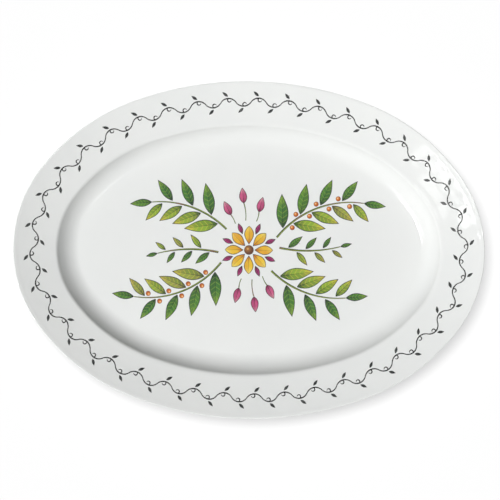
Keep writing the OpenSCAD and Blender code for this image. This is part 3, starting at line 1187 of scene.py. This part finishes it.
@dataclass(frozen=True)
class StemFinish:
    """Enamel on a stem: light on one side, ink along both edges."""

    name: str
    light: Colour = (0.27, 0.34, 0.045)
    dark: Colour = (0.045, 0.09, 0.013)
    blush: Colour = (0.25, 0.054, 0.08)
    ink: Colour = (0.008, 0.009, 0.008)
    roughness: float = 0.1
    wash_scale: float = 260
    blush_scale: float = 90

    def material(self) -> bpy.types.Material:
        """Builds the enamel's material.

        Returns:
            The material.
        """
        graph = ShaderGraph(self.name)
        place = graph.place()
        across = graph.attribute("across")
        wash = graph.noise(place, self.wash_scale, 3)
        base = graph.tinted(self.dark, graph.ease(across + (wash - 0.5), -0.5, 0.6), self.light)
        flush = graph.noise(place, self.blush_scale, 2) + graph.attribute("along") * 0.1
        blush = graph.ease(flush, 0.56, 0.72)
        base = graph.tinted(base, blush * 0.6, self.blush)
        line = graph.ease(graph.math("ABSOLUTE", across), 0.52, 0.8)
        base = graph.tinted(base, line * 0.9, self.ink)
        return graph.finish(base, wash * 0.06 + self.roughness)


class Part(Enum):
    """The finished pieces: each one's name, the CAD node that it stands for and its material slot."""

    CLAY = ("clay_body", "ceramic_body", "biscuit")
    FACE_GLAZE = ("white_face_glaze", "face_glaze", "face_glaze")
    BASE_GLAZE = ("white_base_glaze", "recess_glaze", "recess_glaze")
    VINE_LINES = ("rim_vine_lines", "rim_vine_print", "vine_ink")
    VINE_LEAVES = ("rim_vine_leaves", "rim_leaf_print", "vine_leaf_ink")
    STEMS = ("spray_stems", "stem_print", "stem_green")
    GREEN_LEAVES = ("spray_green_leaves", "green_leaf_print", "leaf_green")
    LIME_LEAVES = ("spray_lime_leaves", "lime_leaf_print", "leaf_lime")
    PETALS = ("blossom_petals", "petal_print", "petal_yellow")
    SEPALS = ("blossom_sepals", "sepal_print", "sepal_magenta")
    EYE = ("blossom_eye", "petal_print", "petal_yellow")
    BUDS = ("spray_buds", "bud_print", "bud_pink")
    BERRIES = ("spray_berries", "berry_print", "berry_orange")


@dataclass
class Builder:
    """The shared tools of the plate's sub-assemblies."""

    oval: Oval
    section: Section
    stations: int = 480
    nib_depth: float = 0.16
    nib_back: float = 0.05
    nib_steps: int = 8
    weld: float = 0.0005 * MM

    def __post_init__(self) -> None:
        """Makes the outline, the nib and the trees that the pieces use."""
        points = [self.oval.place(i / self.stations, 0)[0] for i in range(self.stations)]
        self.outline = curve_object("outline", [points], True)
        turns = [math.pi * i / self.nib_steps for i in range(self.nib_steps + 1)]
        nib = [(math.cos(turn), -self.nib_depth * math.sin(turn)) for turn in turns]
        self.nib = curve_object("nib", [[*nib, (-1, self.nib_back), (1, self.nib_back)]], True)
        self.sweeping = sweep_tree()
        self.stroking = stroke_tree()
        self.strewing = strew_tree()

    @property
    def on_rim(self) -> dict[str, object]:
        """How what lies on the rim is lifted."""
        return {"Outline": self.outline, "Height": self.section.verge_z,
                "Rim Width": self.section.rim_w, "Rise": self.section.rim_rise, "Sag": self.section.rim_sag}

    @property
    def on_floor(self) -> dict[str, object]:
        """How what lies on the floor is lifted."""
        return {**self.on_rim, "Height": self.section.floor_z, "Rise": 0.0, "Sag": 0.0}

    def settle(self, piece: bpy.types.Object, part: Part) -> None:
        """Hands a finished piece to the frame and reports it.

        Args:
            piece: The piece.
            part: What it is.
        """
        _, node, slot = part.value
        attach(piece, "root")
        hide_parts(node)
        LOG.info("%s: %d faces, stands for %s", piece.name, len(piece.data.polygons), node)

    def grow(self, part: Part, tree: bpy.types.NodeTree, values: dict[str, object]) -> bpy.types.Object:
        """Makes a piece with a tree that needs no mesh to start from."""
        piece = new_object(part.value[0], bpy.data.meshes.new("start"))
        return grown(piece, tree, values)

    def swept(self, part: Part, line: list[Point], finish: bpy.types.Material) -> None:
        """Sweeps a section line round the outline and closes the flat middle.

        Args:
            part: The piece to make.
            line: The section, from the flat middle round to the flat middle.
            finish: Its material.
        """
        section = curve_object("section", [[scaled(point, -1) for point in line]], False)
        piece = self.grow(part, self.sweeping,
                          {"Outline": self.outline, "Section": section, "Finish": finish})
        discard(section)
        shape = bmesh.new()
        shape.from_mesh(piece.data)
        bmesh.ops.remove_doubles(shape, verts=shape.verts, dist=self.weld)
        bmesh.ops.holes_fill(shape, edges=[e for e in shape.edges if e.is_boundary], sides=0)
        bmesh.ops.recalc_face_normals(shape, faces=shape.faces)
        for face in shape.faces:
            face.smooth = True
        shape.to_mesh(piece.data)
        shape.free()
        self.settle(piece, part)

    def drawn(self, part: Part, strokes: list[Stroke], lying: dict[str, object],
              finish: bpy.types.Material) -> None:
        """Draws strokes with the nib.

        Args:
            part: The piece to make.
            strokes: The strokes.
            lying: How it is lifted to its face.
            finish: Its material.
        """
        paths = curve_object("paths", [stroke.points for stroke in strokes], False,
                             [stroke.radii for stroke in strokes])
        piece = self.grow(part, self.stroking, {"Paths": paths, "Nib": self.nib, "Finish": finish, **lying})
        discard(paths)
        self.settle(piece, part)

    def strewn(self, part: Part, spots: list[Spot], motif: LeafMotif | DropMotif, lying: dict[str, object],
               finish: bpy.types.Material, seed: int) -> None:
        """Lays a motif on spots.

        Args:
            part: The piece to make.
            spots: Where the motif lies.
            motif: The motif.
            lying: How the piece is lifted to its face.
            finish: Its material.
            seed: The seed of the motifs' tints.
        """
        mark = motif.make("motif")
        piece = spots_object(part.value[0], spots)
        grown(piece, self.strewing, {"Motif": mark, "Seed": seed, "Finish": finish, **lying})
        discard(mark)
        self.settle(piece, part)


@dataclass(frozen=True)
class Stroke:
    """A pen or brush stroke: the middle of its line and half its width at each point."""

    points: list[Point]
    radii: list[float]

    @staticmethod
    def bow(start: Point, end: Point, turned: float, width: float, shape: tuple[float, float, float],
            steps: int = 20) -> Stroke:
        """A stroke along an arc.

        Args:
            start: Where it starts.
            end: Where it ends.
            turned: How far it turns on its way, anticlockwise if above 0.
            width: Its full width.
            shape: The shares of the width at its start, middle and end.
            steps: The number of its stretches.

        Returns:
            The stroke.
        """
        x, y = add(end, scaled(start, -1))
        half_turn = math.radians(turned) / 2
        radius = math.hypot(x, y) / 2 / abs(math.sin(half_turn))
        centre = add(midway(start, end), scaled((-y, x), 0.5 / math.tan(half_turn)))
        first = heading(centre, start)
        low, mid, high = shape
        points, radii = [], []
        for share in (i / steps for i in range(steps + 1)):
            points.append(add(centre, polar(radius, first + turned * share)))
            wide = low + (mid - low) * 2 * share if share < 0.5 else mid + (high - mid) * (2 * share - 1)
            radii.append(width / 2 * wide)
        return Stroke(points, radii)

    def turned(self, by: float) -> Stroke:
        """The same stroke, carried round the plate's centre."""
        return Stroke([spun(point, by) for point in self.points], self.radii)


@dataclass
class Plate:
    """The clay body and its two glazes."""

    tools: Builder

    def build(self) -> None:
        """Builds the three pieces."""
        section = self.tools.section
        clay = ClayFinish("bare_clay").material()
        white = GlazeFinish("white_glaze").material()
        under = GlazeFinish("base_glaze", speck_share=0.07, peel=0.002 * MM).material()
        self.tools.swept(Part.CLAY, section.body_line(), clay)
        self.tools.swept(Part.FACE_GLAZE, section.face_glaze_line(), white)
        self.tools.swept(Part.BASE_GLAZE, section.recess_glaze_line(), under)


@dataclass
class RimVine:
    """The pen-drawn vine round the rim."""

    tools: Builder
    bows: int = 76
    inset: float = 17 * MM
    line: float = 0.9 * MM
    leaf_l: float = 6 * MM
    leaf_w: float = 2.4 * MM
    leaf_gap: float = 0.6 * MM
    leaf_splay: float = 42
    lean: float = 56
    curl_r: float = 1.5 * MM
    curl_turn: float = 220
    curl_tilt: float = 50

    def bow(self, k: int) -> tuple[Stroke, Stroke, Spot]:
        """One bow of the vine.

        Args:
            k: Its number, from the right end and anticlockwise.

        Returns:
            Its stroke, its tendril's stroke and the spot of its leaf.
        """
        start, first = self.tools.oval.place(k / self.bows, self.inset)
        end, last = self.tools.oval.place((k + 1) / self.bows, self.inset)
        side = 1 if k % 2 == 0 else -1
        turned = last - first + 2 * side * self.lean
        out = (first + last) / 2
        inwards = out + (180 if side > 0 else 0)
        middle = midway(start, end)
        rise = math.dist(start, end) / 2 * math.tan(math.radians(turned) / 4)
        foot = add(middle, polar(rise - side * self.line / 3, out))
        reach = 2 * self.curl_r * math.sin(math.radians(self.curl_turn / 2))
        tip = add(foot, polar(reach, inwards + side * (self.curl_turn / 2 - self.curl_tilt)))
        root = add(middle, polar(rise + side * (self.line + self.leaf_gap), out))
        way = inwards + 180 + side * (90 - self.leaf_splay)
        return (Stroke.bow(start, end, turned, self.line, (0.95, 1.3, 0.95)),
                Stroke.bow(foot, tip, side * self.curl_turn, self.line, (1.0, 1.15, 0.5)),
                Spot(root, way, self.leaf_l, self.leaf_w))

    def build(self) -> None:
        """Builds the vine's lines and its leaves."""
        lines, leaves = [], []
        for k in range(self.bows):
            stem, tendril, leaf = self.bow(k)
            lines += [stem, tendril]
            leaves.append(leaf)
        ink = PenFinish("charcoal_line").material()
        leaf_ink = PenFinish("charcoal_leaf", ink=(0.02, 0.022, 0.021), thin=(0.14, 0.145, 0.14)).material()
        motif = LeafMotif(rows=12, columns=6, widest=0.45)
        self.tools.drawn(Part.VINE_LINES, lines, self.tools.on_rim, ink)
        self.tools.strewn(Part.VINE_LEAVES, leaves, motif, self.tools.on_rim, leaf_ink, seed=3)


@dataclass(frozen=True)
class Branch:
    """One branch of the spray: an arc with leaves at even steps, to its left and right in turn."""

    start: Point
    end: Point
    side: int
    radius: float
    size: float
    pitch: float

    @cached_property
    def turned(self) -> float:
        """How far it turns from its start to its end."""
        return 2 * self.side * math.degrees(math.asin(math.dist(self.start, self.end) / 2 / self.radius))

    @cached_property
    def heading(self) -> float:
        """Its heading at its start."""
        return heading(self.start, self.end) - self.turned / 2

    @cached_property
    def centre(self) -> Point:
        """The centre of its arc."""
        return add(self.start, scaled(polar(self.radius, self.heading + 90), self.side))

    @cached_property
    def leaves(self) -> int:
        """The number of leaves along it, but for the one at its end."""
        return round(self.radius * math.radians(abs(self.turned)) / self.pitch) - 1

    def way(self, share: float) -> float:
        """The heading at a share of its length."""
        return self.heading + self.turned * share

    def at(self, share: float) -> Point:
        """The place at a share of its length."""
        return add(self.centre, polar(self.radius, self.way(share) - self.side * 90))

    def beside(self, share: float, aside: float) -> Point:
        """The place at a share of its length and a distance to its left."""
        return add(self.at(share), polar(aside, self.way(share) + 90))


@dataclass
class Spray:
    """The painted spray on the floor: stems, leaves, a blossom, buds and berries."""

    tools: Builder
    leaf_l: float = 30 * MM
    leaf_w: float = 10.5 * MM
    stem_w: float = 1.6 * MM
    petal_reach: float = 20 * MM
    eye_r: float = 4 * MM
    berry_r: float = 2.1 * MM
    bud_l: float = 13 * MM
    leaf_gap: float = 0.6 * MM
    leaf_splay: float = 47
    leaf_fall: float = 0.38
    leaf_pitch: float = 0.84
    small_pitch: float = 0.72
    branch_r: float = 78 * MM
    middle_branch_r: float = 110 * MM
    petals: int = 8
    petal_w_share: float = 0.4
    sepal_share: float = 0.5
    berry_back: float = 0.32
    buds: int = 3
    bud_from: float = 76
    bud_fan: float = 42
    bud_stalk: float = 8 * MM
    bud_bend: float = 24

    @property
    def blossom_r(self) -> float:
        """The radius of the clear ring round the blossom."""
        return self.petal_reach + self.eye_r + self.leaf_gap

    @cached_property
    def branches(self) -> list[Branch]:
        """The long, the middle and the short branch, which are turned half round for the other half.

        Returns:
            The branches of the right half.
        """
        reach = self.blossom_r + self.stem_w / 2
        inset = self.tools.section.floor_inset
        long, wide = self.tools.oval.half_l - inset, self.tools.oval.half_w - inset
        pitch, small = self.leaf_pitch * self.leaf_w, self.small_pitch * self.leaf_w
        return [
            Branch(polar(reach, 25), (0.673 * long, 0.468 * wide), -1, self.branch_r, 1, pitch),
            Branch(polar(reach, 5), (0.538 * long, 0.045 * wide), 1, self.middle_branch_r, 0.54, small),
            Branch(polar(reach, -42), (0.574 * long, -0.452 * wide), 1, self.branch_r, 1, pitch),
        ]

    def row(self, branch: Branch, first: int) -> list[Spot]:
        """Every second leaf of a branch, and its last one where that has the same colour.

        Args:
            branch: The branch.
            first: The number of the first leaf, 0 or 1.

        Returns:
            The leaves' spots.
        """
        spots = []
        for i in range(first, branch.leaves, 2):
            share = (i + 1) / (branch.leaves + 1)
            side = 1 if i % 2 == 0 else -1
            root = branch.beside(share, side * (self.stem_w / 2 + self.leaf_gap))
            spots.append(self.leaf(branch, share, root, side * self.leaf_splay))
        if branch.leaves % 2 == first % 2:
            spots.append(self.leaf(branch, 1, branch.at(1), 0))
        return spots

    def leaf(self, branch: Branch, share: float, root: Point, splay: float) -> Spot:
        """One leaf, which is smaller the further it is along its branch."""
        size = branch.size * (1 - self.leaf_fall * share)
        return Spot(root, branch.way(share) + splay, size * self.leaf_l, size * self.leaf_w)

    @staticmethod
    def doubled(marks: list) -> list:
        """The spots or strokes, and the same turned half round."""
        return marks + [mark.turned(180) for mark in marks]

    def round_blossom(self, first: float, radius: float, long: float, wide: float) -> list[Spot]:
        """Petals or sepals at even steps round the centre, from a share of a step on."""
        ways = [360 / self.petals * (k + first) for k in range(self.petals)]
        return [Spot(polar(radius, way), way, long, wide) for way in ways]

    def bud_place(self, k: int) -> tuple[Point, Point, float]:
        """Where one of the buds of a half stands.

        Args:
            k: Its number.

        Returns:
            The foot of its stalk, its own foot, and its way.
        """
        way = self.bud_from + self.bud_fan * k / (self.buds - 1)
        lift = self.blossom_r + self.bud_stalk + (0 if k % 2 == 0 else self.bud_l / 2)
        return polar(self.blossom_r, way), polar(lift, way), way

    def strewn(self, part: Part, spots: list[Spot], motif: LeafMotif | DropMotif,
               finish: PaintFinish | DropFinish, seed: int) -> None:
        """Lays a motif on spots of the floor, as the builder does."""
        self.tools.strewn(part, spots, motif, self.tools.on_floor, finish.material(), seed)

    def build(self) -> None:
        """Builds the spray's colours."""
        self.build_stems()
        self.build_leaves()
        self.build_blossom()
        self.build_buds()
        self.build_berries()

    def build_stems(self) -> None:
        """Builds the stems and the buds' stalks."""
        strokes = [Stroke.bow(b.start, b.at(1), b.turned, self.stem_w, (1.15, 0.95, 0.5), steps=48)
                   for b in self.branches]
        for k in range(self.buds):
            foot, base, _ = self.bud_place(k)
            strokes.append(Stroke.bow(foot, base, self.bud_bend, self.stem_w / 2, (1.0, 0.9, 1.2), steps=14))
        self.tools.drawn(Part.STEMS, self.doubled(strokes), self.tools.on_floor,
                         StemFinish("stem_enamel").material())

    def build_leaves(self) -> None:
        """Builds the mid green and the yellow-green leaves."""
        long, middle, short = self.branches
        motif = LeafMotif(widest=0.44)
        green = PaintFinish("green_enamel", root=(0.011, 0.049, 0.011), body=(0.04, 0.16, 0.02),
                            tip=(0.25, 0.41, 0.04), blush=(0.13, 0.28, 0.022))
        lime = PaintFinish("lime_enamel", root=(0.049, 0.13, 0.011), body=(0.24, 0.39, 0.027),
                           tip=(0.66, 0.57, 0.054), blush=(0.41, 0.09, 0.13), blush_share=0.4)
        for part, finish, first, seed in ((Part.GREEN_LEAVES, green, 0, 5), (Part.LIME_LEAVES, lime, 1, 8)):
            spots = self.row(long, first) + self.row(middle, first) + self.row(short, 1 - first)
            self.strewn(part, self.doubled(spots), motif, finish, seed)

    def build_blossom(self) -> None:
        """Builds the petals, the sepals between them and the eye."""
        yellow = PaintFinish("petal_enamel", root=(0.54, 0.13, 0.011), body=(0.79, 0.5, 0.027),
                             tip=(0.83, 0.68, 0.13), blush=(0.72, 0.27, 0.018), vein_share=0.0,
                             shade_share=0.25, rib=0.3 * MM)
        magenta = PaintFinish("sepal_enamel", root=(0.11, 0.0072, 0.04), body=(0.36, 0.016, 0.13),
                              tip=(0.59, 0.11, 0.29), blush=(0.22, 0.011, 0.11), vein_share=0.0)
        brown = DropFinish("eye_enamel", light=(0.67, 0.38, 0.072), body=(0.32, 0.12, 0.027),
                           dark=(0.11, 0.036, 0.013))
        clear_r = self.eye_r + self.leaf_gap
        petals = self.round_blossom(0, clear_r, self.petal_reach - clear_r,
                                    self.petal_w_share * self.petal_reach)
        small = self.sepal_share * self.petal_reach
        sepals = self.round_blossom(0.5, self.petal_reach + self.eye_r - small, small,
                                    self.petal_w_share * small)
        eye = [Spot(ORIGIN, 0, 2 * self.eye_r, 2 * self.eye_r)]
        self.strewn(Part.PETALS, petals, LeafMotif(widest=0.56, keen=0.8), yellow, seed=13)
        self.strewn(Part.SEPALS, sepals, LeafMotif(widest=0.5), magenta, seed=21)
        self.strewn(Part.EYE, eye, DropMotif(), brown, seed=1)

    def build_buds(self) -> None:
        """Builds the buds."""
        pink = PaintFinish("bud_enamel", root=(0.23, 0.022, 0.081), body=(0.56, 0.09, 0.22),
                           tip=(0.76, 0.38, 0.43), blush=(0.41, 0.031, 0.14), vein_share=0.0)
        spots = []
        for k in range(self.buds):
            _, base, way = self.bud_place(k)
            spots.append(Spot(base, way, self.bud_l, self.bud_l / 2))
        self.strewn(Part.BUDS, self.doubled(spots), LeafMotif(widest=0.42, keen=0.85), pink, seed=34)

    def build_berries(self) -> None:
        """Builds the berries beside the long branches."""
        orange = DropFinish("berry_enamel", light=(0.85, 0.65, 0.38), body=(0.73, 0.25, 0.031),
                            dark=(0.38, 0.067, 0.013))
        long = self.branches[0]
        aside = self.stem_w / 2 + self.leaf_gap + self.berry_r
        spots = []
        for i in range(1, long.leaves):
            share = (i + 1 - self.berry_back) / (long.leaves + 1)
            place = long.beside(share, aside if i % 2 == 0 else -aside)
            spots.append(Spot(place, 0, 2 * self.berry_r, 2 * self.berry_r))
        self.strewn(Part.BERRIES, self.doubled(spots), DropMotif(sides=20, rings=4), orange, seed=55)


@dataclass(frozen=True)
class Lamp:
    """A soft sun: its turn from X, its turn from the zenith, its strength and how wide it looks."""

    name: str
    azimuth: float
    zenith: float
    strength: float
    width: float


@dataclass(frozen=True)
class Window:
    """A lit box that the glaze mirrors: its turns, its size seen from the plate, and its brightness."""

    name: str
    azimuth: float
    zenith: float
    width: float
    height: float
    glow: float
    distance: float = 4.0


@dataclass
class Studio:
    """The pale floor, the soft lights and the camera straight above, for a plate of a given size."""

    half_length: float
    lip_height: float
    picture: int = 500
    plate_span: float = 235.6
    plate_centre: Point = (248.9, 250.0)
    roll: float = 0.84
    distance: float = 4.0
    sensor: float = 36.0
    sight: float = 50.0
    floor_half: float = 6.0
    floor_white: float = 1.006
    floor_tone: float = 0.25
    floor_return: float = 1.2
    ambient: float = 0.03
    floor_lamp: Lamp = Lamp("floor_sun", 135, 13, 5.6, 28)
    lamps: tuple[Lamp, ...] = (
        Lamp("key_left", 180, 45, 0.82, 26),
        Lamp("key_corner", 202, 45, 0.62, 26),
        Lamp("key_low", 225, 45, 0.15, 26),
        Lamp("key_front", 247, 30, 0.64, 26),
        Lamp("key_high", 225, 30, 0.56, 26),
        Lamp("key_aside", 202, 30, 0.19, 26),
        Lamp("key_top", 270, 22, 0.61, 26),
        Lamp("fill_right", 315, 30, 0.14, 30),
    )
    windows: tuple[Window, ...] = (
        Window("pane_far", 229.5, 25.4, 4.0, 3.8, 2.5),
        Window("pane_near", 216.5, 26.0, 4.6, 2.8, 3.0),
        Window("pane_narrow", 200, 26.0, 3, 4.0, 5.0),
        Window("pane_edge", 212, 27.6, 21, 0.9, 14.0),
        Window("pane_pale", 222, 21.6, 4, 2.8, 2.4),
        Window("pane_faint", 209, 21.0, 3, 2.8, 2.4),
        Window("pane_low", 208, 15.2, 11, 2.8, 20.0),
        Window("bulb", 211, 15.3, 1.4, 4.6, 36.0),
        Window("slit_long", 304, 14.0, 6, 1.2, 22.0),
        Window("slit_short", 332, 14.4, 3.4, 1.2, 22.0),
    )

    def build(self) -> None:
        """Sets up the whole studio."""
        self.build_camera()
        self.build_lights(self.build_floor())
        self.build_world()

    def build_camera(self) -> None:
        """Places a long lens so that the plate lies in the picture as it should."""
        scale = self.half_length / self.plate_span
        data = bpy.data.cameras.new("camera")
        data.sensor_width = self.sensor
        data.lens = self.sensor * (self.distance - self.lip_height) / (self.picture * scale)
        data.clip_end = self.sight
        camera = new_object("camera", data)
        middle = self.picture / 2
        camera.location = ((middle - self.plate_centre[0]) * scale,
                           (self.plate_centre[1] - middle) * scale, self.distance)
        camera.rotation_euler = (0.0, 0.0, math.radians(self.roll))
        bpy.context.scene.camera = camera

    def hung(self, place: Lamp | Window, kind: str, lit: bpy.types.Collection) -> bpy.types.Object:
        """Adds a light that is turned towards the plate and lights one collection only.

        Args:
            place: Its name and its turns.
            kind: The light's type.
            lit: What it lights.

        Returns:
            The light's object.
        """
        light = new_object(place.name, bpy.data.lights.new(place.name, kind))
        light.rotation_euler = (0.0, math.radians(place.zenith), math.radians(place.azimuth))
        light.light_linking.receiver_collection = lit
        return light

    def sun(self, lamp: Lamp, lit: bpy.types.Collection) -> None:
        """Adds a soft sun that gives plain light and is not mirrored.

        Args:
            lamp: Where it stands, how strong it is and how wide it looks.
            lit: What it lights.
        """
        sun = self.hung(lamp, "SUN", lit)
        sun.data.energy = lamp.strength
        sun.data.angle = math.radians(lamp.width)
        sun.visible_glossy = False

    def pane(self, window: Window, lit: bpy.types.Collection) -> None:
        """Adds a lit box that is only mirrored and gives no plain light.

        Args:
            window: Where it stands, how large it looks and how bright it is.
            lit: What mirrors it.
        """
        pane = self.hung(window, "AREA", lit)
        data = pane.data
        data.shape = "RECTANGLE"
        data.size = 2 * window.distance * math.tan(math.radians(window.height / 2))
        data.size_y = 2 * window.distance * math.tan(math.radians(window.width / 2))
        data.energy = window.glow * math.pi * data.size * data.size_y
        aside, lift = polar(window.distance, 90 - window.zenith)
        pane.location = (*polar(aside, window.azimuth), lift)
        pane.visible_diffuse = False

    def build_lights(self, floor: bpy.types.Object) -> None:
        """Lights the plate from the lower left, and the floor from the upper left.

        Args:
            floor: The floor.
        """
        plate = bpy.data.collections.new("lit_plate")
        for piece in bpy.context.scene.objects:
            if piece.type == "MESH" and piece is not floor:
                plate.objects.link(piece)
        ground = bpy.data.collections.new("lit_floor")
        ground.objects.link(floor)
        for lamp in self.lamps:
            self.sun(lamp, plate)
        for window in self.windows:
            self.pane(window, plate)
        self.sun(self.floor_lamp, ground)

    def build_floor(self) -> bpy.types.Object:
        """Lays a pale floor that looks white, keeps the shadow and gives back what falls on it.

        Returns:
            The floor.
        """
        mesh = bpy.data.meshes.new("floor")
        corners = ((-1, -1), (1, -1), (1, 1), (-1, 1))
        mesh.from_pydata([(*scaled(corner, self.floor_half), 0) for corner in corners], [], [(0, 1, 2, 3)])
        floor = new_object("floor", mesh)
        graph = ShaderGraph("pale_floor")
        lit = self.floor_tone * (self.floor_lamp.strength / math.pi + self.ambient)
        fall = sum(lamp.strength * math.cos(math.radians(lamp.zenith)) for lamp in self.lamps)
        given_back = self.floor_return * (fall / math.pi + self.ambient)
        glow = graph.mix(Channel.NUMBER, graph.seen(), given_back - lit, self.floor_white - lit)
        matt = graph.made("ShaderNodeBsdfDiffuse", None, {"Color": rgba((self.floor_tone,) * 3)})
        light = graph.made("ShaderNodeEmission", None, {"Strength": glow})
        graph.close(graph.made("ShaderNodeAddShader", None, {0: matt, 1: light}))
        mesh.materials.append(graph.material)
        return floor

    def build_world(self) -> None:
        """Makes the world a soft grey light that looks white."""
        world = bpy.data.worlds.new("studio")
        world.use_nodes = True
        world.node_tree.nodes.clear()
        graph = Graph(world.node_tree)
        strength = graph.mix(Channel.NUMBER, graph.seen(), self.ambient, 1.0)
        light = graph.made("ShaderNodeBackground", None,
                           {"Color": rgba((1.0, 1.0, 1.0)), "Strength": strength})
        graph.node("ShaderNodeOutputWorld", None, {"Surface": light})
        bpy.context.scene.world = world


def main() -> None:
    """Builds the plate's pieces in order, and the studio."""
    logging.basicConfig(level=logging.INFO, format="%(name)s: %(message)s")
    low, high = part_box("face_glaze")
    section = Section()
    oval = Oval(round((high[0] - low[0]) / 2, 4), round((high[1] - low[1]) / 2, 4))
    tools = Builder(oval, section)
    Plate(tools).build()
    RimVine(tools).build()
    Spray(tools).build()
    discard(tools.outline, tools.nib)
    Studio(oval.half_l, section.lip[1]).build()
    bpy.context.scene.view_settings.view_transform = "Standard"


if __name__ == "__main__":
    main()
